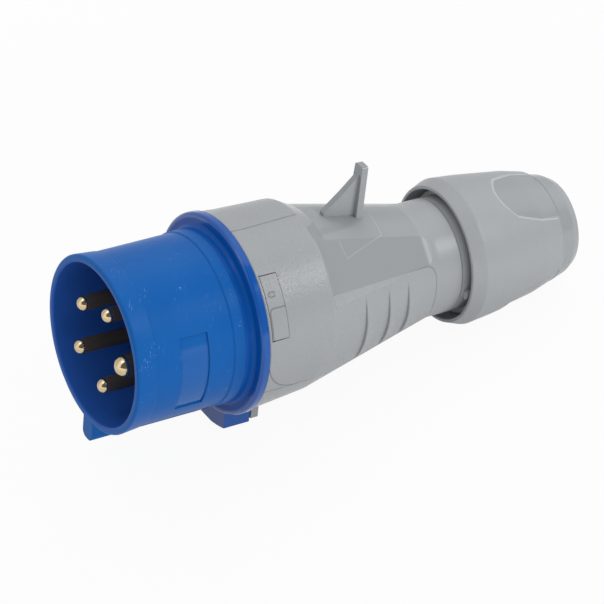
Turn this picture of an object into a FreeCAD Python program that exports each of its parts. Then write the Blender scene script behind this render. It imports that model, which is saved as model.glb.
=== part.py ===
import FreeCAD, Part
import math
import os
import re
import Sketcher

# Industrial pin and sleeve plug, 16 A size, five poles, in millimetres.
# X runs along the axis from the contact end to the cable end and Z points up through the fin.
# The origin is the centre of the flange's front face. Turns are measured from +Z towards -Y.

SIZES = [
    # Sleeve, flange and spigot
    ("mouth_x", -42.0), ("mouth_bore_r", 26.6), ("mouth_round", 0.9), ("bore_round", 0.6),
    ("rim_r", 29.2), ("rim_end_x", -34.6), ("rim_end_r", 28.5), ("rim_step", 0.3), ("skirt_r", 28.2),
    ("band_x", -7.4), ("band_step", 0.4), ("band_r", 28.6), ("flange_r", 33.2), ("flange_wide", 2.8),
    ("flange_round", 1.1), ("flange_fillet", 1.3), ("sleeve_bore_r", 26.3),
    ("spigot_r", 28.2), ("spigot_bore_r", 26.0), ("spigot_end_x", 17.0), ("spigot_round", 0.5),
    ("lip_front_x", -3.0), ("lip_wide", 2.0), ("lip_r", 24.8), ("bead_wide", 0.6), ("bead_r", 25.4),
    # Side recesses, key and retaining lug of the sleeve
    ("recess_x", -25.9), ("recess_long", 9.8), ("recess_floor_r", 27.7), ("recess_angle", 56.4),
    ("key_wide", 6.0), ("key_r", 35.8), ("key_round", 2.2),
    ("lug_x", 0.4), ("lug_long", 9.4), ("lug_wide", 27.0), ("lug_r", 38.4), ("lug_flat", 38.0),
    ("lug_gap", 0.7),
    # Bayonet between sleeve and handle
    ("bayonet_count", 3), ("bayonet_first", 110.0), ("bayonet_r", 29.9), ("bayonet_x", 6.9),
    ("bayonet_long", 2.5), ("bayonet_angle", 24.0), ("bayonet_gap", 0.3), ("bayonet_top_gap", 0.4),
    ("ledge_long", 3.0),
    ("ledge_angle", 28.0), ("turn_range", 30.0), ("stop_angle", 6.0), ("stop_gap_angle", 0.7),
    # Seal between sleeve and handle
    ("seal_x", 13.3), ("seal_section", 2.4), ("seal_floor_r", 27.0), ("seal_side_gap", 0.1),
    ("seal_top_gap", 0.1),
    # Contact carrier and its retainer
    ("carrier_fit", 0.15), ("carrier_disc", 10.0), ("column_r", 5.7), ("column_end_x", 25.0),
    ("hub_r", 5.0), ("web_wide", 2.0), ("bore_fit", 0.1),
    ("retainer_thick", 2.2), ("retainer_r", 19.6), ("push_tube_wall", 1.0),
    ("retainer_screw_r", 1.5), ("retainer_head_r", 3.0), ("retainer_head", 2.2),
    ("retainer_screw_x", 12.0),
    # Contact pins and terminal screws
    ("pin_circle_r", 14.0), ("pin_step", 72.0), ("earth_turn", 90.0), ("dome_share", 0.98),
    ("journal_out", 0.5), ("journal_step", 0.3),
    ("line_pin_r", 2.5), ("line_dome_x", -39.2), ("line_barrel_r", 3.9), ("line_wire_r", 2.1),
    ("earth_pin_r", 3.5), ("earth_dome_x", -38.1), ("earth_barrel_r", 4.5), ("earth_wire_r", 2.1),
    ("barrel_x", 4.0), ("barrel_end_x", 22.0), ("barrel_round", 0.4), ("wire_floor_x", 12.0),
    ("screw_x", 16.0), ("screw_r", 1.75), ("screw_tip_z", 0.6), ("screw_head_r", 2.8),
    ("screw_head_z", 5.0), ("screw_head", 2.2), ("screw_slot", 0.8), ("screw_slot_deep", 1.1),
    ("screw_window_fit", 0.4),
    # Handle
    ("joint_gap", 0.2), ("bell_wall", 2.4), ("shoulder_x", 24.0), ("shoulder_r", 30.8),
    ("neck_x", 63.0), ("neck_r", 22.0), ("tail_x", 75.5), ("tail_r", 19.2), ("tail_end_x", 90.2),
    ("thread_r", 20.9), ("thread_end_x", 97.4), ("handle_round", 12.0),
    ("crown_drop", 0.4), ("crown_x", 28.0), ("crown_r", 30.1), ("crown_lift", 1.6), ("crown_end_x", 34.5),
    ("crown_end_r", 28.0), ("crown_end_lift", 0.1),
    ("bell_bore_end_x", 11.0), ("bell_bore_taper", 1.0), ("seal_bore_end_x", 17.6),
    ("chamber_x", 29.0), ("chamber_r", 25.2), ("chamber_neck_r", 18.6), ("tail_bore_r", 16.6),
    ("bell_edge_round", 0.5), ("thread_round", 0.6),
    # Scoops, ribs, fin and rear lug of the handle
    ("scoop_turn", 46.0), ("scoop_front_x", 29.0), ("scoop_front_r", 27.4), ("scoop_end_x", 72.0),
    ("scoop_end_r", 19.4), ("scoop_wide", 44.0), ("scoop_top", 14.0), ("scoop_round", 1.6),
    ("scoop_ramp_x", 76.0), ("scoop_ramp_r", 20.1), ("scoop_ramp_round", 5.0),
    ("rib_turn", 97.0), ("rib_half_angle", 33.0), ("rib_sunk_angle", 7.0), ("rib_height", 0.9),
    ("rib_ramp", 5.0), ("rib_step", 0.4), ("rib_root", 0.9), ("rib_round", 0.3),
    ("rib_1_x", 42.0), ("rib_2_x", 52.0), ("rib_3_x", 60.5),
    ("fin_front_x", 39.3), ("fin_front_z", 28.3), ("fin_bend_x", 46.3), ("fin_bend_z", 34.5),
    ("fin_bend_round", 14.0), ("fin_ridge_z", 41.0), ("fin_foot_z", 23.6), ("fin_wide", 2.1),
    ("fin_plate_x", 49.45), ("fin_plate", 2.3), ("fin_lean", 3.1), ("fin_top_z", 42.9),
    ("fin_base_wide", 5.8), ("fin_top_wide", 4.2), ("fin_round", 0.8),
    ("rear_lug_gap", 0.6), ("rear_lug_long", 2.6), ("rear_lug_r", 37.4), ("rear_lug_wide", 27.0),
    ("tab_stop_x", 86.2), ("tab_stop_long", 1.4), ("tab_stop_r", 21.0), ("tab_stop_turn", 101.0),
    ("tab_stop_angle", 8.0), ("tab_stop_root", 1.0),
    # Lock tab and its pin in the bell
    ("tab_front_x", 4.0), ("tab_end_x", 10.5), ("tab_from", 38.2), ("tab_to", 76.3), ("tab_gap", 0.3),
    ("tab_outer_r", 32.4), ("tab_wall", 1.7), ("tab_pin_turn", 41.5), ("tab_pin_r", 0.5),
    ("tab_pin_fit", 0.05), ("tab_pin_hold", 0.9), ("tab_tooth_deep", 0.8), ("tab_tooth_angle", 3.0),
    ("tab_tooth_long", 3.0), ("tab_relief_r", 31.9), ("tab_relief_angle", 1.1),
    # Cable gland: cage, grommet, washer and nut
    ("cage_fit", 0.1), ("cage_base_x", 86.0), ("cage_flange_r", 18.4), ("cage_flange", 1.8),
    ("cage_finger_r", 15.8), ("cage_tip_r", 14.0), ("cage_tip_x", 112.0), ("cage_tip_bevel", 3.0),
    ("cage_bore_r", 12.3), ("cage_lip_r", 10.0), ("cage_lip", 1.6), ("cage_slots", 8),
    ("cage_slot_wide", 2.0), ("cage_slot_x", 100.4),
    ("grommet_fit", 0.2), ("grommet_end_x", 121.0), ("grommet_tail_r", 11.0), ("cable_r", 8.0),
    ("grommet_flare", 1.2), ("grommet_ring", 1.0),
    ("washer_thick", 1.5), ("washer_r", 11.2), ("washer_bore_r", 9.0), ("washer_gap", 0.3),
    ("nut_lip_x", 85.4), ("nut_lip_bore_r", 22.0), ("nut_lip_r", 23.0), ("nut_lip_round", 0.4),
    ("nut_max_x", 90.1), ("nut_max_r", 24.7), ("nut_max_round", 1.2), ("nut_mid_x", 99.0),
    ("nut_mid_r", 23.8),
    ("nut_slope_x", 116.0), ("nut_slope_r", 21.4), ("nut_rear_x", 123.4), ("nut_rear_r", 19.6),
    ("nut_rear_round", 0.6), ("nut_step_x", 124.4), ("nut_step_r", 18.5), ("nut_step_round", 0.8),
    ("nut_collar_x", 129.6), ("nut_collar_r", 17.2), ("nut_end_x", 132.8), ("nut_end_r", 15.4),
    ("nut_end_round", 1.2), ("nut_round", 5.0), ("nut_thread_x", 91.2), ("nut_thread_gap", 0.3),
    ("nut_thread_end_x", 102.6), ("nut_shoulder_x", 104.4), ("nut_shoulder_r", 19.3),
    ("cone_x", 107.0), ("cone_r", 18.6), ("cone_end_x", 128.0),
    ("cone_end_r", 11.6), ("nut_exit_r", 9.5), ("nut_exit_flare", 1.5),
    ("grip_count", 3), ("grip_turn", 17.0), ("grip_x", 107.2), ("grip_r", 20.65), ("grip_end_x", 124.4),
    ("grip_end_r", 16.1), ("grip_top", 9.0), ("grip_lean", 16.7), ("grip_wide", 34.0), ("grip_round", 1.5),
    ("floor_x", 101.4), ("floor_r", 22.85), ("floor_inner_x", 104.4), ("floor_mid_x", 110.0),
    ("floor_mid_r", 21.65), ("floor_slope_x", 116.0), ("floor_slope_r", 20.75), ("floor_end_x", 124.6),
    ("floor_end_r", 18.4), ("floor_round", 20.0), ("floor_wall", 2.8),
]

doc = FreeCAD.newDocument("pin_and_sleeve_plug")
sheet = doc.addObject("Spreadsheet::Sheet", "Sizes")
for row, (alias, value) in enumerate(SIZES, start=1):
    sheet.set(f"A{row}", alias)
    sheet.set(f"B{row}", str(value))
    sheet.setAlias(f"B{row}", alias)
doc.recompute()

V = FreeCAD.Vector
X_AXIS = V(1, 0, 0)
WORD = re.compile(r"[a-z][a-z_0-9]*")
NAMES = {alias for alias, _ in SIZES}
NODES = []
CLOSE = 1e-6

# Places that several sub-parts share
CARRIER_FACE = "(lip_front_x + lip_wide)"
BELL_BORE = "(bayonet_r + bayonet_top_gap)"
BELL_FRONT = f"({BELL_BORE} + bell_wall)"
TAB_INNER = "(tab_outer_r - tab_wall)"
TAB_PIN_RING = "(tab_outer_r - tab_wall / 2)"
TAB_PIN_Y = f"-{TAB_PIN_RING} * sin(tab_pin_turn * 1 deg)"
TAB_PIN_Z = f"{TAB_PIN_RING} * cos(tab_pin_turn * 1 deg)"


def bound(text):
    """An expression in which every size is read from the sheet."""
    return WORD.sub(lambda m: f"Sizes.{m.group()}" if m.group() in NAMES else m.group(), str(text))


def value(text):
    """The number that an expression gives."""
    return float(sheet.evalExpression(bound(text)))


def bind(item, prop, text):
    """Tie a property to an expression."""
    item.setExpression(prop, bound(text))


def new_body(label):
    """A body for one sub-part."""
    body = doc.addObject("PartDesign::Body", label + "_body")
    body.Label = label
    NODES.append(body)
    return body


def origin_plane(body, role):
    """One of a body's own origin planes or axes."""
    return next(f for f in body.Origin.OriginFeatures if f.Role == role)


def new_sketch(body, name, role="XZ_Plane", turn=None, along=None, out=None):
    """A sketch on an origin plane, turned about its X, moved along its normal, or turned and moved out."""
    sketch = body.newObject("Sketcher::SketchObject", f"{body.Label}_{name}")
    sketch.AttachmentSupport = [(origin_plane(body, role), "")]
    sketch.MapMode = "FlatFace"
    if turn is not None:
        sketch.AttachmentOffset = FreeCAD.Placement(V(), FreeCAD.Rotation(X_AXIS, value(turn)))
        if abs(value(turn)) > 0:
            bind(sketch, "AttachmentOffset.Rotation.Angle", turn)
    if along is not None:
        bind(sketch, "AttachmentOffset.Base.z", along)
    if out is not None:
        bind(sketch, "AttachmentOffset.Base.y", f"-({out}) * sin({turn} * 1 deg)")
        bind(sketch, "AttachmentOffset.Base.z", f"({out}) * cos({turn} * 1 deg)")
    return sketch


def fix_point(sketch, geo, end, x, y):
    """Hold one point of a sketch at x, y."""
    for kind, text in (("DistanceX", x), ("DistanceY", y)):
        index = sketch.addConstraint(Sketcher.Constraint(kind, -1, 1, geo, end, value(text)))
        bind(sketch, f"Constraints[{index}]", text)


def outline(sketch, corners):
    """A closed outline of straight lines through corners (x, y) or rounded ones (x, y, radius)."""
    count = len(corners)
    points = [V(value(c[0]), value(c[1]), 0) for c in corners]
    ends = []
    arcs = []
    for i, corner in enumerate(corners):
        here = points[i]
        if len(corner) == 2:
            ends.append((here, here))
            arcs.append(None)
            continue
        back = (points[i - 1] - here).normalize()
        ahead = (points[(i + 1) % count] - here).normalize()
        half = back.getAngle(ahead) / 2
        radius = value(corner[2])
        reach = radius / math.tan(half)
        centre = here + (back + ahead).normalize() * (radius / math.sin(half))
        first = here + back * reach
        last = here + ahead * reach
        middle = centre + (here - centre).normalize() * radius
        ends.append((first, last))
        arcs.append(Part.Arc(first, middle, last))
    lines = [
        sketch.addGeometry(Part.LineSegment(ends[i][1], ends[(i + 1) % count][0]))
        for i in range(count)
    ]
    for i, corner in enumerate(corners):
        before = lines[i - 1]
        after = lines[i]
        if arcs[i] is None:
            sketch.addConstraint(Sketcher.Constraint("Coincident", before, 2, after, 1))
            fix_point(sketch, after, 1, corner[0], corner[1])
            continue
        arc = sketch.addGeometry(arcs[i])
        start_is_first = sketch.getPoint(arc, 1).distanceToPoint(ends[i][0]) < CLOSE
        near, far = (1, 2) if start_is_first else (2, 1)
        sketch.addConstraint(Sketcher.Constraint("Tangent", before, 2, arc, near))
        sketch.addConstraint(Sketcher.Constraint("Tangent", arc, far, after, 1))
        index = sketch.addConstraint(Sketcher.Constraint("Radius", arc, value(corner[2])))
        bind(sketch, f"Constraints[{index}]", corner[2])
        apex = sketch.addGeometry(Part.Point(points[i]), True)
        sketch.addConstraint(Sketcher.Constraint("PointOnObject", apex, 1, before))
        sketch.addConstraint(Sketcher.Constraint("PointOnObject", apex, 1, after))
        fix_point(sketch, apex, 1, corner[0], corner[1])


def circle(sketch, x, y, radius):
    """A circle in a sketch."""
    spot = Part.Circle(V(value(x), value(y), 0), V(0, 0, 1), value(radius))
    geo = sketch.addGeometry(spot)
    fix_point(sketch, geo, 3, x, y)
    index = sketch.addConstraint(Sketcher.Constraint("Radius", geo, value(radius)))
    bind(sketch, f"Constraints[{index}]", radius)


def revolve(body, name, corners, turn=None, angle=None, cut=False):
    """Turn an outline of (x, radius) corners about X, all round or by an angle about its plane."""
    sketch = new_sketch(body, name + "_outline", turn=turn)
    outline(sketch, corners)
    kind = "PartDesign::Groove" if cut else "PartDesign::Revolution"
    feature = body.newObject(kind, f"{body.Label}_{name}")
    feature.Profile = sketch
    feature.ReferenceAxis = (sketch, ["H_Axis"])
    feature.Angle = 360.0
    if angle is not None:
        feature.Midplane = True
        bind(feature, "Angle", angle)
    return feature


def extrude(body, name, sketch, length, cut=False, symmetric=False, backwards=False):
    """Pad or pocket a sketch by a length."""
    kind = "PartDesign::Pocket" if cut else "PartDesign::Pad"
    feature = body.newObject(kind, f"{body.Label}_{name}")
    feature.Profile = sketch
    feature.Type = "Length"
    feature.SideType = "Symmetric" if symmetric else "One side"
    feature.Reversed = backwards
    bind(feature, "Length", length)
    return feature


def around(body, name, features, count, angle=360.0):
    """Repeat features about the X axis."""
    pattern = body.newObject("PartDesign::PolarPattern", f"{body.Label}_{name}")
    pattern.Originals = features
    pattern.Axis = (origin_plane(body, "X_Axis"), [""])
    pattern.Angle = angle
    bind(pattern, "Occurrences", count)
    body.Tip = pattern
    return pattern


def mirrored(body, name, features):
    """Repeat features on the other side of the plane through the axis and the fin."""
    copy = body.newObject("PartDesign::Mirrored", f"{body.Label}_{name}")
    copy.Originals = features
    copy.MirrorPlane = (origin_plane(body, "XZ_Plane"), [""])
    body.Tip = copy
    return copy


def arc_block(body, name, inner, outer, wide, start, length):
    """A block under the axis between two radii with upright sides, along X."""
    sketch = new_sketch(body, name + "_outline", role="YZ_Plane", along=start)
    half = value(wide) / 2
    corners = {}
    for key, radius in (("in", inner), ("out", outer)):
        drop = -math.sqrt(value(radius) ** 2 - half ** 2)
        corners[key] = (V(-half, drop, 0), V(half, drop, 0), V(0, -value(radius), 0))
    left_in, right_in, low_in = corners["in"]
    left_out, right_out, low_out = corners["out"]
    inner_arc = sketch.addGeometry(Part.Arc(left_in, low_in, right_in))
    outer_arc = sketch.addGeometry(Part.Arc(left_out, low_out, right_out))
    left = sketch.addGeometry(Part.LineSegment(left_in, left_out))
    right = sketch.addGeometry(Part.LineSegment(right_out, right_in))
    add = sketch.addConstraint
    for arc, radius in ((inner_arc, inner), (outer_arc, outer)):
        add(Sketcher.Constraint("Coincident", arc, 3, -1, 1))
        index = add(Sketcher.Constraint("Radius", arc, value(radius)))
        bind(sketch, f"Constraints[{index}]", radius)
    add(Sketcher.Constraint("Coincident", left, 1, inner_arc, 1))
    add(Sketcher.Constraint("Coincident", left, 2, outer_arc, 1))
    add(Sketcher.Constraint("Coincident", right, 2, inner_arc, 2))
    add(Sketcher.Constraint("Coincident", right, 1, outer_arc, 2))
    for line, sign in ((left, "-"), (right, "")):
        add(Sketcher.Constraint("Vertical", line))
        text = f"{sign}({wide}) / 2"
        index = add(Sketcher.Constraint("DistanceX", -1, 1, line, 1, value(text)))
        bind(sketch, f"Constraints[{index}]", text)
    return extrude(body, name, sketch, length)


def block(x_from, x_to, r_from, r_to):
    """A rectangle of (x, radius) corners."""
    return [(x_from, r_from), (x_to, r_from), (x_to, r_to), (x_from, r_to)]


# Sleeve housing: the blue sleeve with its flange, key, lug and spigot, moulded in one piece

def make_sleeve_housing():
    body = new_body("sleeve_housing")
    groove_half = "(seal_section / 2 + seal_side_gap)"
    bead_x = f"({CARRIER_FACE} + carrier_disc + seal_side_gap)"
    revolve(body, "shell", [
        ("mouth_x", "mouth_bore_r", "bore_round"),
        ("mouth_x", "rim_r", "mouth_round"),
        ("rim_end_x", "rim_end_r"),
        ("rim_end_x + rim_step", "skirt_r"),
        ("band_x", "skirt_r"),
        ("band_x + band_step", "band_r"),
        ("0", "band_r", "flange_fillet"),
        ("0", "flange_r", "flange_round"),
        ("flange_wide", "flange_r"),
        ("flange_wide", "spigot_r"),
        (f"seal_x - {groove_half}", "spigot_r"),
        (f"seal_x - {groove_half}", "seal_floor_r"),
        (f"seal_x + {groove_half}", "seal_floor_r"),
        (f"seal_x + {groove_half}", "spigot_r"),
        ("spigot_end_x", "spigot_r", "spigot_round"),
        ("spigot_end_x", "spigot_bore_r"),
        (f"{bead_x} + 2 * bead_wide", "spigot_bore_r"),
        (f"{bead_x} + bead_wide", "bead_r"),
        (bead_x, "bead_r"),
        (bead_x, "spigot_bore_r"),
        (CARRIER_FACE, "spigot_bore_r"),
        (CARRIER_FACE, "lip_r"),
        ("lip_front_x", "lip_r"),
        ("lip_front_x", "sleeve_bore_r"),
    ])
    recess = revolve(body, "recess", block("recess_x", "recess_x + recess_long", "recess_floor_r", "rim_r"),
                     turn="earth_turn", angle="recess_angle", cut=True)
    mirrored(body, "recess_pair", [recess])
    key = new_sketch(body, "key_outline", role="YZ_Plane", along="mouth_x")
    outline(key, [
        ("-key_wide / 2", "-(skirt_r + mouth_bore_r) / 2"),
        ("-key_wide / 2", "-key_r", "key_round"),
        ("key_wide / 2", "-key_r", "key_round"),
        ("key_wide / 2", "-(skirt_r + mouth_bore_r) / 2"),
    ])
    extrude(body, "key", key, "-mouth_x + flange_wide / 2")
    arc_block(body, "lug_root", "spigot_r + (flange_r - spigot_r) / 2", "lug_r", "lug_wide",
              "lug_x", "flange_wide - lug_x")
    arc_block(body, "lug", f"{BELL_FRONT} + lug_gap", "lug_r", "lug_wide", "lug_x", "lug_long")
    flat = new_sketch(body, "lug_flat_outline", role="YZ_Plane", along="lug_x")
    outline(flat, [
        ("-lug_wide / 2", "-lug_flat"), ("lug_wide / 2", "-lug_flat"),
        ("lug_wide / 2", "-lug_flat - key_wide"), ("-lug_wide / 2", "-lug_flat - key_wide"),
    ])
    extrude(body, "lug_flat", flat, "lug_long", cut=True, backwards=True)
    bayonet = revolve(body, "bayonet", block("bayonet_x", "bayonet_x + bayonet_long",
                                             "(spigot_r + spigot_bore_r) / 2", "bayonet_r"),
                      turn="bayonet_first", angle="bayonet_angle")
    around(body, "bayonets", [bayonet], "bayonet_count")


# Contact carrier: a disc with one column round each contact, a hub and webs between them

def pin_spots():
    """Name, shaft, barrel and wire sizes and the turn of each contact."""
    spots = []
    for index, name in enumerate(("earth", "l1", "l2", "l3", "n")):
        kind = "earth" if name == "earth" else "line"
        spots.append((name, kind, f"(earth_turn - {index} * pin_step)"))
    return spots


def spot_circles(body, name, along, radius):
    """A sketch across the axis with one circle on each contact."""
    sketch = new_sketch(body, name, role="YZ_Plane", along=along)
    for _, kind, turn in pin_spots():
        circle(sketch, f"-pin_circle_r * sin({turn} * 1 deg)", f"pin_circle_r * cos({turn} * 1 deg)",
               radius.format(kind=kind))
    return sketch


def make_contact_carrier():
    body = new_body("contact_carrier")
    rim = "(spigot_bore_r - carrier_fit)"
    disc_end = f"({CARRIER_FACE} + carrier_disc)"
    revolve(body, "disc", block(CARRIER_FACE, disc_end, "0", rim))
    hub = new_sketch(body, "hub_outline", role="YZ_Plane", along=f"{disc_end} - web_wide")
    circle(hub, "0", "0", "hub_r")
    extrude(body, "hub", hub, f"column_end_x - {disc_end} + web_wide")
    columns = spot_circles(body, "column_outline", f"{disc_end} - web_wide", "column_r")
    extrude(body, "columns", columns, f"column_end_x - {disc_end} + web_wide")
    web = new_sketch(body, "web_outline", role="XZ_Plane", turn="earth_turn")
    outline(web, block(f"{disc_end} - web_wide", "column_end_x - web_wide", "hub_r / 2",
                       "pin_circle_r - column_r / 2 - hub_r / 2"))
    webs = extrude(body, "web", web, "web_wide", symmetric=True)
    around(body, "webs", [webs], "360 / pin_step")
    shafts = spot_circles(body, "shaft_bore_outline", CARRIER_FACE, "{kind}_pin_r + journal_step + bore_fit")
    extrude(body, "shaft_bores", shafts, "column_end_x", cut=True, backwards=True)
    barrels = spot_circles(body, "barrel_bore_outline", "barrel_x", "{kind}_barrel_r + bore_fit")
    extrude(body, "barrel_bores", barrels, "column_end_x", cut=True, backwards=True)
    pilot = new_sketch(body, "pilot_outline", role="YZ_Plane", along="retainer_screw_x")
    circle(pilot, "0", "0", "retainer_screw_r")
    extrude(body, "pilot", pilot, "column_end_x", cut=True, backwards=True)
    window = new_sketch(body, "window_outline", role="XY_Plane", turn="earth_turn",
                        out="pin_circle_r + screw_tip_z")
    circle(window, "screw_x", "0", "screw_head_r + screw_window_fit")
    windows = extrude(body, "window", window, "column_r + web_wide", cut=True, backwards=True)
    around(body, "windows", [windows], "360 / pin_step")


# Contacts: turned brass pins with a wire barrel, each with a clamping screw

def place_on_circle(body, turn):
    """Move a sub-part that is drawn on the X axis out to a contact's place."""
    body.Placement = FreeCAD.Placement(V(), FreeCAD.Rotation(X_AXIS, value(turn)))
    bind(body, "Placement.Rotation.Angle", turn)
    bind(body, "Placement.Base.y", f"-pin_circle_r * sin({turn} * 1 deg)")
    bind(body, "Placement.Base.z", f"pin_circle_r * cos({turn} * 1 deg)")


def make_pin(name, kind, turn):
    body = new_body(f"pin_{name}")
    tip = f"({kind}_dome_x - {kind}_pin_r)"
    journal_x = f"{CARRIER_FACE} - journal_out"
    revolve(body, "turned", [
        (tip, "0"),
        (tip, f"{kind}_pin_r", f"{kind}_pin_r * dome_share"),
        (journal_x, f"{kind}_pin_r"),
        (journal_x, f"{kind}_pin_r + journal_step"),
        ("barrel_x", f"{kind}_pin_r + journal_step"),
        ("barrel_x", f"{kind}_barrel_r"),
        ("barrel_end_x", f"{kind}_barrel_r", "barrel_round"),
        ("barrel_end_x", f"{kind}_wire_r"),
        ("wire_floor_x", f"{kind}_wire_r"),
        ("wire_floor_x", "0"),
    ])
    hole = new_sketch(body, "screw_hole_outline", role="XY_Plane")
    circle(hole, "screw_x", "0", "screw_r")
    extrude(body, "screw_hole", hole, f"{kind}_barrel_r + screw_r", cut=True, backwards=True)
    place_on_circle(body, turn)


def make_terminal_screw(name, turn):
    body = new_body(f"terminal_screw_{name}")
    shank = new_sketch(body, "shank_outline", role="XY_Plane", along="screw_tip_z")
    circle(shank, "screw_x", "0", "screw_r")
    extrude(body, "shank", shank, "screw_head_z - screw_tip_z + screw_head / 2")
    head = new_sketch(body, "head_outline", role="XY_Plane", along="screw_head_z")
    circle(head, "screw_x", "0", "screw_head_r")
    extrude(body, "head", head, "screw_head")
    floor_z = "screw_head_z + screw_head - screw_slot_deep"
    slot = new_sketch(body, "slot_outline", role="XY_Plane", along=floor_z)
    outline(slot, block("screw_x - screw_slot / 2", "screw_x + screw_slot / 2",
                        "-screw_head_r - screw_slot", "screw_head_r + screw_slot"))
    extrude(body, "slot", slot, "screw_head", cut=True, backwards=True)
    place_on_circle(body, turn)


def make_carrier_retainer():
    body = new_body("carrier_retainer")
    plate_end = "(column_end_x + retainer_thick)"
    revolve(body, "plate", [
        ("column_end_x", "retainer_screw_r + bore_fit"), ("column_end_x", "retainer_r"),
        (plate_end, "retainer_r"), (plate_end, "retainer_screw_r + bore_fit"),
    ])
    tubes = spot_circles(body, "push_tube_outline", "barrel_end_x", "{kind}_wire_r + push_tube_wall")
    extrude(body, "push_tubes", tubes, "column_end_x - barrel_end_x + retainer_thick / 2")
    bores = spot_circles(body, "wire_bore_outline", "barrel_end_x", "{kind}_wire_r + bore_fit")
    extrude(body, "wire_bores", bores, "column_end_x", cut=True, backwards=True)


def make_retainer_screw():
    body = new_body("retainer_screw")
    plate_end = "(column_end_x + retainer_thick)"
    revolve(body, "turned", [
        ("retainer_screw_x", "0"), ("retainer_screw_x", "retainer_screw_r", "screw_slot / 2"),
        (plate_end, "retainer_screw_r"), (plate_end, "retainer_head_r"),
        (f"{plate_end} + retainer_head", "retainer_head_r", "retainer_head / 2"),
        (f"{plate_end} + retainer_head", "0"),
    ])
    slot = new_sketch(body, "slot_outline", role="XZ_Plane")
    outline(slot, block(f"{plate_end} + retainer_head - screw_slot_deep", f"{plate_end} + 2 * retainer_head",
                        "-screw_slot / 2", "screw_slot / 2"))
    extrude(body, "slot", slot, "3 * retainer_head_r", cut=True, symmetric=True)


# Seal: a rubber ring in the spigot's groove

def make_housing_seal():
    ring = doc.addObject("Part::Torus", "housing_seal_ring")
    ring.Label = "housing_seal"
    bind(ring, "Radius1", "seal_floor_r + seal_section / 2")
    bind(ring, "Radius2", "seal_section / 2")
    ring.Placement = FreeCAD.Placement(V(), FreeCAD.Rotation(V(0, 1, 0), 90))
    bind(ring, "Placement.Base.x", "seal_x")
    NODES.append(ring)


# Handle: the grey bell, neck and threaded tail in one moulding

def crown(body, start_x, start_r):
    """A ruled loft whose sections rise above the axis, for the fuller upper side of the bell."""
    sections = (
        (start_x, start_r, "0"), ("crown_x", "crown_r", "crown_lift"),
        ("crown_end_x", "crown_end_r", "crown_end_lift"),
    )
    rings = []
    for index, (x, radius, lift) in enumerate(sections):
        ring = new_sketch(body, f"crown_ring_{index}", role="YZ_Plane", along=x)
        circle(ring, "0", lift, radius)
        rings.append(ring)
    loft = body.newObject("PartDesign::AdditiveLoft", "handle_crown")
    loft.Profile = rings[0]
    loft.Sections = rings[1:]
    loft.Ruled = True


def make_handle():
    body = new_body("handle")
    front = "(flange_wide + joint_gap)"
    seal_bore = "(seal_floor_r + seal_section + seal_top_gap)"
    revolve(body, "form", [
        (front, "0"),
        (front, BELL_FRONT, "bell_edge_round"),
        ("shoulder_x", "shoulder_r", "handle_round"),
        ("neck_x", "neck_r"),
        ("tail_x", "tail_r", "handle_round / 2"),
        ("tail_end_x", "tail_r"),
        ("tail_end_x", "thread_r"),
        ("thread_end_x", "thread_r", "thread_round"),
        ("thread_end_x", "0"),
    ])
    crown(body, f"{front} + bell_edge_round", f"{BELL_FRONT} - crown_drop")
    revolve(body, "hollow", [
        (f"{front} - joint_gap", "0"),
        (f"{front} - joint_gap", BELL_BORE),
        ("bell_bore_end_x - bell_bore_taper", BELL_BORE),
        ("bell_bore_end_x", seal_bore),
        ("seal_bore_end_x", seal_bore),
        ("chamber_x", "chamber_r"),
        ("neck_x", "chamber_neck_r"),
        ("tail_x", "tail_bore_r"),
        ("thread_end_x + joint_gap", "tail_bore_r"),
        ("thread_end_x + joint_gap", "0"),
    ], cut=True)
    ledge_end = "(bayonet_x - bayonet_gap)"
    wall_middle = f"({BELL_BORE} + bell_wall / 2)"
    ledge = revolve(body, "ledge", block(f"{ledge_end} - ledge_long", ledge_end, "spigot_r + bayonet_gap",
                                         wall_middle),
                    turn="bayonet_first", angle="ledge_angle")
    around(body, "ledges", [ledge], "bayonet_count")
    stop_turn = "(bayonet_first + 360 / bayonet_count)"
    stop_reach = "(bayonet_angle / 2 + stop_gap_angle + stop_angle / 2)"
    for name, turn in (("closed_stop", f"{stop_turn} - {stop_reach}"),
                       ("open_stop", f"{stop_turn} + {stop_reach} + turn_range")):
        revolve(body, name, block(ledge_end, "bayonet_x + bayonet_long", "spigot_r + bayonet_gap",
                                  wall_middle), turn=turn, angle="stop_angle")
    window_mid = "((tab_from + tab_to) / 2)"
    revolve(body, "tab_window", block("tab_front_x", "tab_end_x", "spigot_r + bayonet_gap",
                                      f"{BELL_FRONT} + lug_gap"),
            turn=window_mid, angle="tab_to - tab_from", cut=True)
    revolve(body, "tab_relief", block("tab_front_x", "tab_end_x", "spigot_r + bayonet_gap", "tab_relief_r"),
            turn="tab_to", angle="2 * tab_relief_angle", cut=True)
    pin_hole = new_sketch(body, "tab_pin_hole_outline", role="YZ_Plane", along="tab_front_x - tab_pin_hold")
    circle(pin_hole, TAB_PIN_Y, TAB_PIN_Z, "tab_pin_r")
    extrude(body, "tab_pin_hole", pin_hole, "tab_end_x - tab_front_x + 2 * tab_pin_hold", cut=True,
            backwards=True)
    return body


def make_scoops(body):
    """A flat scoop on each upper side of the neck, with a soft ramp where it runs out."""
    scoop = new_sketch(body, "scoop_outline", turn="scoop_turn")
    outline(scoop, [
        ("scoop_front_x", "scoop_front_r", "scoop_round"),
        ("scoop_end_x", "scoop_end_r", "scoop_ramp_round"),
        ("scoop_ramp_x", "scoop_ramp_r"),
        ("scoop_ramp_x", "scoop_front_r + scoop_top"),
        ("scoop_front_x", "scoop_front_r + scoop_top"),
    ])
    cut = extrude(body, "scoop", scoop, "scoop_wide", cut=True, symmetric=True)
    mirrored(body, "scoops", [cut])


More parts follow.
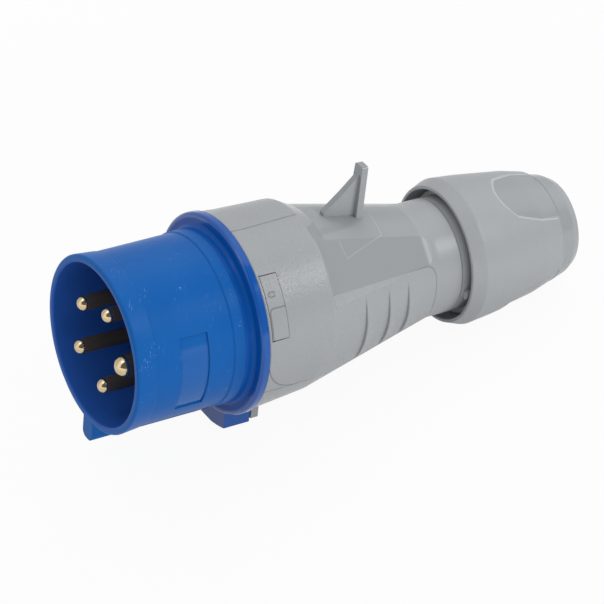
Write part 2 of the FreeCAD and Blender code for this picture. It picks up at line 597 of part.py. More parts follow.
def make_fin(body):
    """The stop fin on the neck: a thin web with a hollow ridge, and a leaning plate behind it."""
    behind = "(fin_plate_x + fin_plate / 2)"
    lean = "tan(fin_lean * 1 deg)"
    web = new_sketch(body, "fin_outline")
    outline(web, [
        ("fin_front_x", "fin_foot_z"), ("fin_front_x", "fin_front_z"),
        ("fin_bend_x", "fin_bend_z", "fin_bend_round"),
        (f"{behind} + fin_ridge_z * {lean}", "fin_ridge_z"),
        (f"{behind} + fin_foot_z * {lean}", "fin_foot_z"),
    ])
    extrude(body, "fin", web, "fin_wide", symmetric=True)
    plate = new_sketch(body, "fin_plate_outline", role="YZ_Plane", turn="fin_lean", along="fin_plate_x")
    outline(plate, [
        ("-fin_base_wide / 2", "fin_foot_z"), ("-fin_top_wide / 2", "fin_top_z", "fin_round"),
        ("fin_top_wide / 2", "fin_top_z", "fin_round"), ("fin_base_wide / 2", "fin_foot_z"),
    ])
    extrude(body, "fin_plate", plate, "fin_plate")


def make_ribs(body):
    """Crescent grip ribs: a step ahead of a long ramp, highest at the side and flush at their ends."""
    slope = "((shoulder_r - neck_r) / (neck_x - shoulder_x))"
    shift = "(rib_height / (1 - cos(rib_half_angle * 1 deg)))"
    made = []
    for name in ("rib_1_x", "rib_2_x", "rib_3_x"):
        surface = f"(shoulder_r - ({name} - shoulder_x) * {slope})"
        foot = f"({surface} - rib_ramp * {slope})"
        sketch = new_sketch(body, name + "_outline", turn="rib_turn")
        outline(sketch, [
            (name, f"{surface} - rib_root"),
            (f"{name} + rib_step", f"{surface} + rib_height", "rib_round"),
            (f"{name} + rib_ramp", foot),
            (f"{name} + rib_ramp", f"{foot} - rib_root"),
        ])
        middle = Part.LineSegment(V(0, value(shift), 0), V(value("neck_x"), value(shift), 0))
        axis = sketch.addGeometry(middle, True)
        fix_point(sketch, axis, 1, "0", shift)
        fix_point(sketch, axis, 2, "neck_x", shift)
        feature = body.newObject("PartDesign::Revolution", f"handle_{name}")
        feature.Profile = sketch
        feature.ReferenceAxis = (sketch, ["Axis0"])
        feature.Midplane = True
        bind(feature, "Angle", "2 * (rib_half_angle + rib_sunk_angle)")
        made.append(feature)
    mirrored(body, "rib_pairs", made)


def finish_handle(body):
    make_ribs(body)
    make_scoops(body)
    make_fin(body)
    arc_block(body, "rear_lug", f"{BELL_BORE} + joint_gap", "rear_lug_r", "rear_lug_wide",
              "lug_x + lug_long + rear_lug_gap", "rear_lug_long")
    revolve(body, "nut_stop", block("tab_stop_x - tab_stop_long", "tab_stop_x + tab_stop_long / 2",
                                    "tail_bore_r + tab_stop_root", "tab_stop_r"),
            turn="tab_stop_turn", angle="tab_stop_angle")


# Lock tab: a curved lever in the bell's window, turning on a pin along X

def make_lock_tab():
    body = new_body("lock_tab")
    middle = "((tab_from + tab_to) / 2)"
    gap_angle = "(tab_gap / tab_outer_r * 180 / pi)"
    span = f"(tab_to - tab_from - 2 * {gap_angle})"
    revolve(body, "plate", block("tab_front_x + tab_gap", "tab_end_x - tab_gap", TAB_INNER, "tab_outer_r"),
            turn=middle, angle=span)
    revolve(body, "tooth", block("tab_end_x - tab_gap - tab_tooth_long", "tab_end_x - tab_gap",
                                 f"{TAB_INNER} - tab_tooth_deep", f"{TAB_INNER} + tab_wall / 2"),
            turn=f"{middle} + {span} / 2 - tab_tooth_angle / 2", angle="tab_tooth_angle")
    hole = new_sketch(body, "pin_hole_outline", role="YZ_Plane", along="tab_front_x")
    circle(hole, TAB_PIN_Y, TAB_PIN_Z, "tab_pin_r + tab_pin_fit")
    extrude(body, "pin_hole", hole, "tab_end_x - tab_front_x", cut=True, backwards=True)


def make_lock_pin():
    pin = doc.addObject("Part::Cylinder", "lock_pin_rod")
    pin.Label = "lock_pin"
    bind(pin, "Radius", "tab_pin_r")
    bind(pin, "Height", "tab_end_x - tab_front_x + 2 * tab_pin_hold")
    pin.Placement = FreeCAD.Placement(V(), FreeCAD.Rotation(V(0, 1, 0), 90))
    bind(pin, "Placement.Base.x", "tab_front_x - tab_pin_hold")
    bind(pin, "Placement.Base.y", TAB_PIN_Y)
    bind(pin, "Placement.Base.z", TAB_PIN_Z)
    NODES.append(pin)


# Cable gland: a slotted cage in the tail, a rubber grommet, a slip washer and the nut with its three scoops

def make_clamp_cage():
    body = new_body("clamp_cage")
    plug_r = "(tail_bore_r - cage_fit)"
    flange_end = "(thread_end_x + cage_flange)"
    revolve(body, "shell", [
        ("cage_base_x", "cage_lip_r"), ("cage_base_x", plug_r),
        ("thread_end_x", plug_r), ("thread_end_x", "cage_flange_r"),
        (flange_end, "cage_flange_r"), (flange_end, "cage_finger_r"),
        ("cage_tip_x - cage_tip_bevel", "cage_finger_r"), ("cage_tip_x", "cage_tip_r"),
        ("cage_tip_x", "cage_bore_r"), ("cage_base_x + cage_lip", "cage_bore_r"),
        ("cage_base_x + cage_lip", "cage_lip_r"),
    ])
    slot = new_sketch(body, "slot_outline")
    outline(slot, block("cage_slot_x", "cage_tip_x + cage_lip", "cage_lip_r", "cage_flange_r"))
    cut = extrude(body, "slot", slot, "cage_slot_wide", cut=True, symmetric=True)
    around(body, "slots", [cut], "cage_slots")


def make_cable_grommet():
    body = new_body("cable_grommet")
    start = "(cage_base_x + cage_lip)"
    outer = "(cage_bore_r - grommet_fit)"
    revolve(body, "sleeve", [
        (start, "cable_r + grommet_flare"), (start, outer),
        ("cage_tip_x", outer), ("cage_tip_x + grommet_ring", "grommet_tail_r"),
        ("grommet_end_x", "grommet_tail_r", "grommet_ring / 2"),
        ("grommet_end_x", "cable_r + grommet_flare"), ("grommet_end_x - 2 * grommet_flare", "cable_r"),
        (f"{start} + 2 * grommet_flare", "cable_r"),
    ])


def make_slip_washer():
    body = new_body("slip_washer")
    rear = "(cone_end_x - washer_gap)"
    revolve(body, "ring", block(f"{rear} - washer_thick", rear, "washer_bore_r", "washer_r"))


def make_gland_nut():
    body = new_body("gland_nut")
    thread_bore = "(thread_r + nut_thread_gap)"
    revolve(body, "shell", [
        ("nut_lip_x", "nut_lip_bore_r"), ("nut_lip_x", "nut_lip_r", "nut_lip_round"),
        ("nut_max_x", "nut_max_r", "nut_max_round"), ("nut_mid_x", "nut_mid_r", "nut_round * 4"),
        ("nut_slope_x", "nut_slope_r", "nut_round * 4"), ("nut_rear_x", "nut_rear_r", "nut_rear_round"),
        ("nut_step_x", "nut_step_r", "nut_step_round"),
        ("nut_collar_x", "nut_collar_r", "nut_round / 2"), ("nut_end_x", "nut_end_r", "nut_end_round"),
        ("nut_end_x", "nut_exit_r + nut_exit_flare"), ("nut_end_x - nut_exit_flare", "nut_exit_r"),
        ("cone_end_x", "nut_exit_r"), ("cone_end_x", "cone_end_r"),
        ("cone_x", "cone_r"), ("nut_shoulder_x", "nut_shoulder_r"), ("nut_thread_end_x", thread_bore),
        ("nut_thread_x", thread_bore),
    ])
    grip = new_sketch(body, "grip_outline", turn="grip_turn")
    outline(grip, [
        ("grip_x", "grip_r", "grip_round"), ("grip_end_x", "grip_end_r"),
        ("grip_end_x", "grip_r + grip_top"), ("grip_x - grip_lean", "grip_r + grip_top"),
    ])
    cut = extrude(body, "grip", grip, "grip_wide", cut=True, symmetric=True)
    around(body, "grips", [cut], "grip_count")
    revolve(body, "grip_floor", [
        ("floor_inner_x", "floor_r - floor_wall"), ("floor_x", "floor_r"),
        ("floor_mid_x", "floor_mid_r", "floor_round"), ("floor_slope_x", "floor_slope_r", "floor_round"),
        ("floor_end_x", "floor_end_r"), ("floor_end_x", "floor_end_r - floor_wall"),
        ("floor_slope_x", "floor_slope_r - floor_wall"),
    ])


def check_document():
    """Stop on any failed object or any sub-part without a sound solid."""
    doc.recompute()
    for item in doc.Objects:
        if "Invalid" in item.State or "Error" in item.State:
            raise RuntimeError(f"{item.Label} failed: {item.State}")
    for node in NODES:
        if node.Shape.isNull() or not node.Shape.isValid() or node.Shape.Volume <= 0:
            raise RuntimeError(f"{node.Label} has no sound solid")
        if len(node.Shape.Solids) != 1:
            raise RuntimeError(f"{node.Label} has {len(node.Shape.Solids)} solids")


def write_parts():
    os.makedirs("parts", exist_ok=True)
    for node in NODES:
        node.Shape.exportStep(f"parts/{node.Label}.step")
        box = node.Shape.BoundBox
        print(f"{node.Label:24s} {node.Shape.Volume:9.0f} mm3  x {box.XMin:7.2f} {box.XMax:7.2f}"
              f"  z {box.ZMin:7.2f} {box.ZMax:7.2f}")


make_sleeve_housing()
make_contact_carrier()
for pin_name, pin_kind, pin_turn in pin_spots():
    make_pin(pin_name, pin_kind, pin_turn)
    make_terminal_screw(pin_name, pin_turn)
make_carrier_retainer()
make_retainer_screw()
make_housing_seal()
finish_handle(make_handle())
make_lock_tab()
make_lock_pin()
make_clamp_cage()
make_cable_grommet()
make_slip_washer()
make_gland_nut()
check_document()
write_parts()
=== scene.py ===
import math

import bmesh
import bpy
from mathutils import Matrix, Vector


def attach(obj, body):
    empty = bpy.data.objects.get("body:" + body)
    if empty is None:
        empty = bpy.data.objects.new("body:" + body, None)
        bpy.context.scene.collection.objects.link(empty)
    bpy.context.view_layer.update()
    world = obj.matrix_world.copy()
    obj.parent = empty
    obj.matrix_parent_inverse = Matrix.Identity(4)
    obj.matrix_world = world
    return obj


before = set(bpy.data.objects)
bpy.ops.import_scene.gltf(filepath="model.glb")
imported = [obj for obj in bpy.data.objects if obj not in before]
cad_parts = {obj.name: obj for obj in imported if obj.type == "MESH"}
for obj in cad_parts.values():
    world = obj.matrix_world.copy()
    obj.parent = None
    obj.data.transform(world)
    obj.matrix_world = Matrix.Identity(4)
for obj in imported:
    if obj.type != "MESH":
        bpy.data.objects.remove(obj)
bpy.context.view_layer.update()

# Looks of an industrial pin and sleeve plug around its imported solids.
# X runs along the axis from the contacts to the cable end and Z points up through the fin.
# Turns are measured about X from +Z towards -Y, in degrees. Arcs run from +Z down either side.
# Places are in millimetres. A pair of numbers is where a soft step starts and ends.

MM = 0.001

# The blue sleeve
SLEEVE_WALL_R = (27.2, 27.6)
SKIRT_END = (-5.0, -3.0)
RECESS = (-25.9, -16.1)
RECESS_WALL_R = 27.95
RECESS_SOFT = 0.1
# Where the flange starts, for its painted shade and its clear coat
FLANGE_TONE_START = (-3.6, -3.2)
FLANGE_GLOSS_START = (-4.0, -2.5)
FLANGE_RIM_R = (31.2, 32.0)

# The handle: its bell, grained pads, smooth strip on top, side panels and tail
BELL_FRONT = 3.0
BELL_REAR = 28.6
TAIL_START = 73.5
TAIL_SMOOTH = (70.0, 72.0)
PAD_SOFT = 0.3
PAD_ARC = 63.1
PAD_CORNER = 13.3
PAD_TOP_TURN = 60.5
PAD_TOP_CORNER = 4.0
STRIP_TURN = 6.7
STRIP_LEAN = 0.105
STRIP_SOFT = 0.6
ARC_PER_STRIP_DEGREE = 0.55

# The handle's moulded lines, each with its width and soft edge
STRIP_LINE = (0.12, 0.12)
CORNER_LINE = (0.22, 0.14)
CORNER_LINE_END = (16.0, 24.0)
SEAM_ARC = 63.4
SEAM_LINE = (0.16, 0.12)
SEAM_END = (15.5, 16.5)
TAIL_RING = 83.9
PAD_TOP_LINE_START = (60.0, 68.0)
INSERT = ((38.8, 10.9), (39.9, 16.2), (56.2, 10.9), (57.3, 0.0))
INSERT_LINE = (0.12, 0.16)
ARC_PER_INSERT_DEGREE = 0.42

# The lock tab: its lined field, and a small padlock of a square body under a shackle
FIELD_START = 4.6
FIELD_ARC = 32.6
FIELD_CORNER = 1.6
FIELD_LINE = (0.2, 0.14)
MARK_ALONG = 6.7
MARK_ARC = 28.2
MARK_HALF = 0.8
MARK_LINE = (0.16, 0.1)
SHACKLE_OFF = 0.9
SHACKLE_R = 0.55
SHACKLE_LINE = (0.14, 0.1)
SHACKLE_START = (0.0, 0.05)

# The gland nut: places and radii of its land, and how deep below it lie the scoops and the pale ring round
# them, which is a painted highlight
NUT_LAND = ((99.0, 23.8), (116.0, 21.4), (123.4, 19.6))
SCOOP_START = (101.6, 102.0)
SCOOP_DEPTH = (0.06, 0.14)
BAND_DEPTH_LOW = (0.05, 0.12)
BAND_DEPTH_HIGH = (0.45, 0.55)
BAND_END = (123.2, 123.6)
COLLAR_START = (124.0, 124.6)

# Thread ridges of the tail and of the nut, and the beads about the pins
THREAD_PITCH = 3.0
TAIL_THREAD = {"Start": 91.4, "Ring": 20.62, "Turns": 1.7, "Phase": 20.0}
NUT_THREAD = {"Start": 92.9, "Ring": 21.48, "Turns": 2.7, "Phase": 20.0}
BEAD = 0.5
THREAD_STEPS = 72
THREAD_RUN_OUT = (0.0, 0.06, 0.05, 1.0)
CARRIER_FACE = -1.0
PIN_CIRCLE = 14.0
PIN_COUNT = 5
PIN_STEP = 72.0
EARTH_TURN = 90.0
COLLAR_BEAD = 0.35
LINE_COLLAR_R = 3.8
EARTH_COLLAR_R = 4.8
COLLAR_STEPS = 48
BEAD_STEPS = 12

# The pins: where the dark skin starts behind the dome
LINE_SKIN_START = -39.2
EARTH_SKIN_START = -38.1
SKIN_SOFT = 0.1

# Grain and wear. A scuff stroke has a turn in radians, a width, a stretch and the size of its patches.
PITS = 0.9
SPECKS = 0.4
PIT_SHARE = 0.7
TONE_PATCH = 22.0
TONE_SPAN = (0.3, 0.7)
SCUFF_ARC_PER_DEGREE = 0.5
SCUFF_SPECKS = 0.55
SCUFF_SPECK_SPAN = (0.62, 0.7)
SCUFF_CLUSTER = 10.0
SCUFF_CLUSTER_SPAN = (0.66, 0.74)
SCUFF_STROKES = ((0.5, 0.32, 13.0, 11.0), (-0.8, 0.3, 10.0, 5.8), (1.7, 0.36, 14.0, 15.8))
SCUFF_STROKE_SPAN = (0.7, 0.77)
SCUFF_PATCH_SPAN = (0.5, 0.64)
BRASS_TOOL_STEP = 0.35
STEEL_TOOL_STEP = 0.25
TOOL_WANDER = 1.4
STAIN = 3.5
STAIN_SPAN = (0.4, 0.75)
BLOOM = 6.0
BLOOM_SPAN = (0.42, 0.7)
RUBBER_PITS = 0.3

# Bump depth and edge radius of each finish
RELIEF = {
    "sleeve": (0.05, 0.35),
    "handle": (0.22, 0.3),
    "tab": (0.22, 0.15),
    "nut": (0.16, 0.3),
    "plastic": (0.05, 0.2),
    "metal": (0.006, 0.12),
    "rubber": (0.03, 0.2),
}
LINE_DEPTH = 2.0
SMOOTH_GRAIN = 0.1

# Gloss of the sleeve, and of the clear coat on its rim and in its recesses
SLEEVE_SPECULAR = 0.14
RIM_COAT = 0.8
RECESS_COAT = 0.4
COAT_ROUGH = 0.1

# Roughness
SATIN = (0.33, 0.39)
FLANGE_SATIN = 0.6
SCUFF_ROUGH = 0.3
RECESS_ROUGH = 0.14
PANEL_ROUGH = 0.15
TAIL_ROUGH = 0.34
PAD_ROUGH = 0.26
TAB_ROUGH = 0.3
NUT_ROUGH = 0.34
SCOOP_ROUGH = 0.2
BRASS_ROUGH = 0.1
STEEL_ROUGH = 0.3
STAIN_ROUGH = 0.14
SKIN_ROUGH = 0.2
SKIN_METALLIC = 0.3
INNER_ROUGH = 0.45
CARRIER_ROUGH = 0.4
RUBBER_ROUGH = (0.6, 0.8)

# Camera, as fitted to the outline of the plug in the photograph. Its clip distances are in metres.
AIM = Vector((40.0, 0.0, 0.0)) * MM
DISTANCE = 1198.2 * MM
AZIMUTH = 34.47
ELEVATION = 33.22
ROLL = 5.68
LENS = 221.5
SHIFT = (-0.0237, -0.0270)
CLIP = (0.05, 20.0)

# Each lamp: azimuth, elevation, distance and size in metres, power, and whether gloss shows it
LAMPS = {
    "front": (5.0, 4.0, 1.1, (1.0, 0.6), 4.2, False),
    "behind": (165.0, 48.0, 1.1, (1.0, 0.7), 4.1, False),
    "key": (42.6, 40.9, 0.31, (0.09, 0.09), 0.18, True),
    "mouth": (-95.0, 55.0, 1.2, (0.34, 0.34), 0.75, True),
}

# World light, and the parts of it that gloss sees, by the direction's Y and Z
WORLD_LEVEL = 0.6
DIM_LEVEL = 0.13
DIM_ABOVE = (-0.04, 0.1)
DIM_UNTIL = (-0.2, -0.12)
REAR = (0.3, 0.7)
REAR_LEVEL = 0.6

# The floor under the lug and the nut, whose places are in X and Z. Its fade is in metres.
UNDER_LUG = Vector((9.8, -38.05))
UNDER_NUT = Vector((89.9, -24.95))
FLOOR_CENTRE = 45.0
FLOOR_HALF = 600.0
FLOOR_TONE = (0.72, 0.72, 0.72, 1.0)
FLOOR_SEEN = 0.94
FLOOR_MIRRORED = 0.45
FLOOR_FADE = (0.14, 0.42)


def srgb(red, green, blue):
    """A display colour as a linear one."""
    def linear(value):
        value /= 255
        return value / 12.92 if value <= 0.04045 else ((value + 0.055) / 1.055) ** 2.4
    return (linear(red), linear(green), linear(blue), 1.0)


def darker(colour, share):
    """A colour at a share of its light."""
    return tuple(share * value for value in colour[:3]) + (1.0,)


BLUE = srgb(14, 94, 174)
BLUE_PALE = srgb(30, 106, 182)
# Painted shade: the darker blue of the flange face
BLUE_FLANGE_SHADE = srgb(2, 78, 166)
# Painted light: a paler, redder copy of the blue for the inside, offsetting its shade and the deeper blue of
# light bouncing there
BLUE_INSIDE_LIGHTENED = srgb(42, 92, 180)
BLUE_SCUFF = srgb(110, 150, 205)
GREY = srgb(160, 163, 166)
GREY_COOL = srgb(155, 160, 163)
# Painted shade: a darker grey for smooth panels, scoops and collar, standing in for the dark they reflect
GREY_SMOOTH_SHADE = srgb(152, 156, 159)
# Pale grey: the painted highlight round the nut's scoops, and the handle's pale insert line
GREY_PALE = srgb(188, 190, 192)
GREY_LINE = srgb(120, 123, 125)
INNER_GREY = srgb(120, 124, 128)
CARRIER = srgb(36, 38, 42)
BRASS = srgb(228, 206, 166)
SKIN = srgb(88, 80, 74)
STEEL = srgb(188, 190, 192)
SEAL = srgb(30, 31, 33)
GROMMET = srgb(44, 45, 48)


# Short calls for node trees

class Nodes:
    """One node tree and the calls that fill it."""

    def __init__(self, tree):
        self.tree = tree

    def add(self, kind, **settings):
        node = self.tree.nodes.new(kind)
        for name, value in settings.items():
            setattr(node, name, value)
        return node

    def feed(self, socket, source):
        """Link an output to a socket, or set a plain value on it."""
        if isinstance(source, bpy.types.NodeSocket):
            self.tree.links.new(source, socket)
        else:
            socket.default_value = source

    def math(self, operation, first, second=0.0, clamp=False):
        node = self.add("ShaderNodeMath", operation=operation, use_clamp=clamp)
        self.feed(node.inputs[0], first)
        self.feed(node.inputs[1], second)
        return node.outputs[0]

    def plus(self, first, second, clamp=False):
        return self.math("ADD", first, second, clamp)

    def minus(self, first, second):
        return self.math("SUBTRACT", first, second)

    def times(self, first, second):
        return self.math("MULTIPLY", first, second)

    def absolute(self, value):
        return self.math("ABSOLUTE", value)

    def reach(self, across, down):
        """The straight distance that two offsets make."""
        return self.math("SQRT", self.plus(self.times(across, across), self.times(down, down)))

    def ramp(self, value, low, high, start=0.0, end=1.0):
        """A smooth step of value from low to high."""
        node = self.add("ShaderNodeMapRange", interpolation_type="SMOOTHSTEP")
        for socket, source in zip(node.inputs, (value, low, high, start, end)):
            self.feed(socket, source)
        return node.outputs[0]

    def fall(self, value, low, high):
        """A smooth step down of value from low to high."""
        return self.ramp(value, low, high, 1.0, 0.0)

    def blend(self, mask, off, on):
        """A number between two, by a mask."""
        return self.ramp(mask, 0.0, 1.0, off, on)

    def line(self, distance, width, soft):
        """A mask that is 1 within half a width of distance 0."""
        return self.fall(self.absolute(distance), width / 2, width / 2 + soft)

    def chain(self, operation, values):
        made = values[0]
        for value in values[1:]:
            made = self.math(operation, made, value)
        return made

    def both(self, *masks):
        """The product of masks."""
        return self.chain("MULTIPLY", masks)

    def either(self, *masks):
        """The greatest of masks."""
        return self.chain("MAXIMUM", masks)

    def least(self, *values):
        return self.chain("MINIMUM", values)

    def less(self, mask):
        """What a mask leaves."""
        return self.minus(1.0, mask)

    def mix(self, share, first, second):
        """A colour between two."""
        node = self.add("ShaderNodeMix", data_type="RGBA")
        self.feed(node.inputs["Factor"], share)
        self.feed(node.inputs[6], first)
        self.feed(node.inputs[7], second)
        return node.outputs[2]

    def noise(self, place, size, detail=2.0, roughness=0.5):
        """Noise with features of a size in millimetres."""
        node = self.add("ShaderNodeTexNoise")
        self.feed(node.inputs["Vector"], place)
        node.inputs["Scale"].default_value = 1 / (size * MM)
        node.inputs["Detail"].default_value = detail
        node.inputs["Roughness"].default_value = roughness
        return node.outputs[0]

    def vector(self, **parts):
        """A vector of numbers given by axis."""
        node = self.add("ShaderNodeCombineXYZ")
        for axis, source in parts.items():
            self.feed(node.inputs[axis], source)
        return node.outputs[0]

    def place(self):
        return self.add("ShaderNodeTexCoord").outputs["Object"]

    def seen(self):
        """A mask of the rays that see the set: those of the camera and those through glass."""
        path = self.add("ShaderNodeLightPath").outputs
        return self.plus(path["Is Camera Ray"], path["Is Transmission Ray"], clamp=True)

    def glossy(self):
        return self.add("ShaderNodeLightPath").outputs["Is Glossy Ray"]

    def group(self, tree, **values):
        """A shared effect with its own values."""
        node = self.add("ShaderNodeGroup", node_tree=tree)
        for name, value in values.items():
            self.feed(node.inputs[name], value)
        return node.outputs


def new_tree(name, kind, inputs, outputs):
    """An empty node group with named inputs and outputs, and its nodes."""
    tree = bpy.data.node_groups.new(name, kind)
    for title, socket_type, value in inputs:
        socket = tree.interface.new_socket(title, in_out="INPUT", socket_type=socket_type)
        if value is not None:
            socket.default_value = value
    for title, socket_type in outputs:
        tree.interface.new_socket(title, in_out="OUTPUT", socket_type=socket_type)
    nodes = Nodes(tree)
    return tree, nodes, nodes.add("NodeGroupInput").outputs, nodes.add("NodeGroupOutput").inputs


FLOAT = "NodeSocketFloat"
WHOLE = "NodeSocketInt"
FINISH = "NodeSocketMaterial"
SHAPE = "NodeSocketGeometry"


def axial_place():
    """Where a point lies on the plug: along the axis, its turn, its radius and its arc."""
    tree, nodes, _, out = new_tree("axial_place", "ShaderNodeTree", [], [
        ("Along", FLOAT), ("Turn", FLOAT), ("Radius", FLOAT), ("Arc", FLOAT)])
    parts = nodes.add("ShaderNodeSeparateXYZ")
    nodes.feed(parts.inputs[0], nodes.place())
    x, y, z = parts.outputs
    turn = nodes.math("ARCTAN2", nodes.times(y, -1.0), z)
    radius = nodes.math("DIVIDE", nodes.reach(y, z), MM)
    nodes.feed(out["Along"], nodes.math("DIVIDE", x, MM))
    nodes.feed(out["Turn"], nodes.math("DEGREES", turn))
    nodes.feed(out["Radius"], radius)
    nodes.feed(out["Arc"], nodes.times(radius, nodes.absolute(turn)))
    return tree


def mould_grain():
    """The spark-eroded grain of a mould: fine pits, with a slow change in tone."""
    tree, nodes, given, out = new_tree("mould_grain", "ShaderNodeTree", [
        ("Share", FLOAT, 1.0)], [("Height", FLOAT), ("Tone", FLOAT)])
    place = nodes.place()
    pits = nodes.times(nodes.noise(place, PITS, 2.0, 0.6), PIT_SHARE)
    specks = nodes.times(nodes.noise(place, SPECKS, 1.0), 1 - PIT_SHARE)
    nodes.feed(out["Height"], nodes.times(nodes.plus(pits, specks), given["Share"]))
    nodes.feed(out["Tone"], nodes.ramp(nodes.noise(place, TONE_PATCH, 3.0), *TONE_SPAN))
    return tree


def scuffs():
    """Specks in clusters and short fine scratches in three directions, as handling leaves them."""
    tree, nodes, given, out = new_tree("scuffs", "ShaderNodeTree", [
        ("Amount", FLOAT, 0.5)], [("Mask", FLOAT)])
    where = nodes.group(AXIAL)
    place = nodes.vector(X=nodes.times(where["Along"], MM),
                         Y=nodes.times(where["Turn"], SCUFF_ARC_PER_DEGREE * MM),
                         Z=nodes.times(where["Radius"], MM))
    specks = nodes.ramp(nodes.noise(place, SCUFF_SPECKS, 1.0), *SCUFF_SPECK_SPAN)
    cluster = nodes.ramp(nodes.noise(place, SCUFF_CLUSTER, 1.0), *SCUFF_CLUSTER_SPAN)
    made = [nodes.both(specks, cluster)]
    for turn, width, stretch, patch in SCUFF_STROKES:
        mapping = nodes.add("ShaderNodeMapping", vector_type="TEXTURE")
        nodes.feed(mapping.inputs["Vector"], place)
        mapping.inputs["Rotation"].default_value = (0.0, 0.0, turn)
        mapping.inputs["Scale"].default_value = (1.0, stretch, 1.0)
        strokes = nodes.ramp(nodes.noise(mapping.outputs[0], width, 1.0), *SCUFF_STROKE_SPAN)
        patches = nodes.ramp(nodes.noise(place, patch, 3.0, 0.6), *SCUFF_PATCH_SPAN)
        made.append(nodes.both(strokes, patches))
    nodes.feed(out["Mask"], nodes.times(nodes.either(*made), given["Amount"]))
    return tree


AXIAL = axial_place()
GRAIN = mould_grain()
SCUFFS = scuffs()


def new_material(name):
    """A material with its node calls and its main shader."""
    material = bpy.data.materials.new(name)
    material.use_nodes = True
    return material, Nodes(material.node_tree), material.node_tree.nodes["Principled BSDF"]


def paint(nodes, shader, tone, rough):
    """Colour and roughness that change over the surface."""
    nodes.feed(shader.inputs["Base Color"], tone)
    nodes.feed(shader.inputs["Roughness"], rough)


def surface(nodes, shader, height, depth, edge):
    """Rounded edges and a bump of a depth in millimetres, as the shader's normal."""
    bevel = nodes.add("ShaderNodeBevel", samples=4)
    bevel.inputs["Radius"].default_value = edge * MM
    bump = nodes.add("ShaderNodeBump")
    bump.inputs["Strength"].default_value = 1.0
    bump.inputs["Distance"].default_value = depth * MM
    nodes.feed(bump.inputs["Height"], height)
    nodes.feed(bump.inputs["Normal"], bevel.outputs[0])
    nodes.feed(shader.inputs["Normal"], bump.outputs[0])


def sleeve_blue():
    """The blue moulding: satin with light scuffs, a glossy flange whose face has painted shade, smooth side
    recesses, and inside a paler, redder copy of the blue painted against its shade.
    """
    material, nodes, shader = new_material("sleeve_blue")
    grain = nodes.group(GRAIN, Share=0.12)
    scuffed = nodes.group(SCUFFS, Amount=0.75)["Mask"]
    where = nodes.group(AXIAL)
    along, radius = where["Along"], where["Radius"]
    outside = nodes.ramp(radius, *SLEEVE_WALL_R)
    flange = nodes.ramp(along, *FLANGE_TONE_START)
    recess = nodes.both(
        nodes.fall(radius, RECESS_WALL_R - RECESS_SOFT, RECESS_WALL_R), outside,
        nodes.ramp(along, RECESS[0] - RECESS_SOFT, RECESS[0]),
        nodes.fall(along, RECESS[1], RECESS[1] + RECESS_SOFT),
    )
    worn = nodes.both(scuffed, outside, nodes.fall(along, *SKIRT_END), nodes.less(recess))
    tone = nodes.mix(nodes.times(grain["Tone"], 0.3), BLUE, BLUE_PALE)
    # Painted light: inside the sleeve wall the blue is swapped for its paler, redder copy against the shade
    tone = nodes.mix(nodes.less(outside), tone, BLUE_INSIDE_LIGHTENED)
    # Painted shade: the flange is painted a darker blue
    tone = nodes.mix(nodes.times(flange, 0.7), tone, BLUE_FLANGE_SHADE)
    satin = nodes.times(nodes.blend(grain["Tone"], *SATIN),
                        nodes.ramp(along, *FLANGE_GLOSS_START, 1.0, FLANGE_SATIN))
    rough = nodes.plus(nodes.times(nodes.less(recess), satin), nodes.times(recess, RECESS_ROUGH))
    rough = nodes.plus(rough, nodes.times(worn, SCUFF_ROUGH))
    paint(nodes, shader, nodes.mix(worn, tone, BLUE_SCUFF), rough)
    shader.inputs["Specular IOR Level"].default_value = SLEEVE_SPECULAR
    rim = nodes.both(flange, nodes.ramp(radius, *FLANGE_RIM_R), RIM_COAT)
    nodes.feed(shader.inputs["Coat Weight"], nodes.either(rim, nodes.times(recess, RECESS_COAT)))
    shader.inputs["Coat Roughness"].default_value = COAT_ROUGH
    surface(nodes, shader, grain["Height"], *RELIEF["sleeve"])
    return material


def corner_edge(nodes, across, down, corner):
    """Signed distance from a rounded corner, from the distances outside its two sides. Negative inside."""
    out_across = nodes.either(nodes.plus(across, corner), 0.0)
    out_down = nodes.either(nodes.plus(down, corner), 0.0)
    inner = nodes.least(nodes.plus(nodes.either(across, down), corner), 0.0)
    return nodes.minus(nodes.plus(nodes.reach(out_across, out_down), inner), corner)


def segment(nodes, along, down, first, last):
    """Distance in millimetres from a straight line between two places on a surface laid flat."""
    run = (last[0] - first[0], last[1] - first[1])
    square = run[0] ** 2 + run[1] ** 2
    from_along = nodes.minus(along, first[0])
    from_down = nodes.minus(down, first[1])
    share = nodes.plus(nodes.times(from_along, run[0] / square),
                       nodes.times(from_down, run[1] / square), clamp=True)
    return nodes.reach(nodes.minus(from_along, nodes.times(share, run[0])),
                       nodes.minus(from_down, nodes.times(share, run[1])))


def grey_tone(nodes, grain):
    """The grey plastic's slow change in tone."""
    return nodes.mix(nodes.times(grain["Tone"], 0.2), GREY, GREY_COOL)


